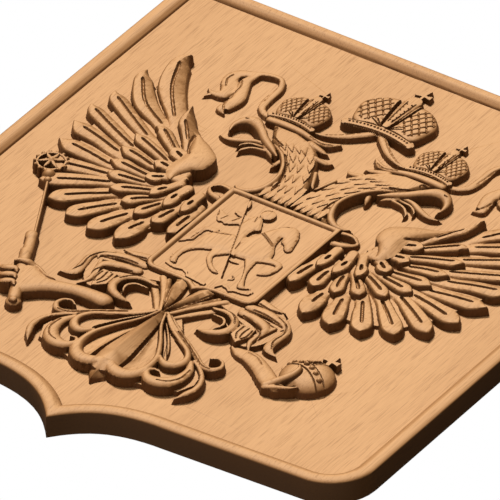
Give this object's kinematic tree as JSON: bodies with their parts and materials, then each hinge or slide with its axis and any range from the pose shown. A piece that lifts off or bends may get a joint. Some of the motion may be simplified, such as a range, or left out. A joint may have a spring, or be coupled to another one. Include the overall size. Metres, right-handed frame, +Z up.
{
  "type": "carved heraldic wall plaque",
  "caption": "Shield-shaped wooden wall plaque with a raised rim and a relief carving of a crowned double-headed eagle with a rider on its breast shield.",
  "frame": {"origin": "centre of the flat back face, half way between the sides and half way between the top edge and the lower point, where the plaque lies on the wall", "axes": "+Z up as hung, +X to the viewer's right, +Y into the wall; the carved front faces -Y"},
  "size_m": [0.4, 0.0254, 0.45],
  "materials": {
    "wood": "light fine-grained hardwood, satin"
  },
  "bodies": {
    "root": {"carved_shield_plaque": "wood"}
  },
  "joints": []
}
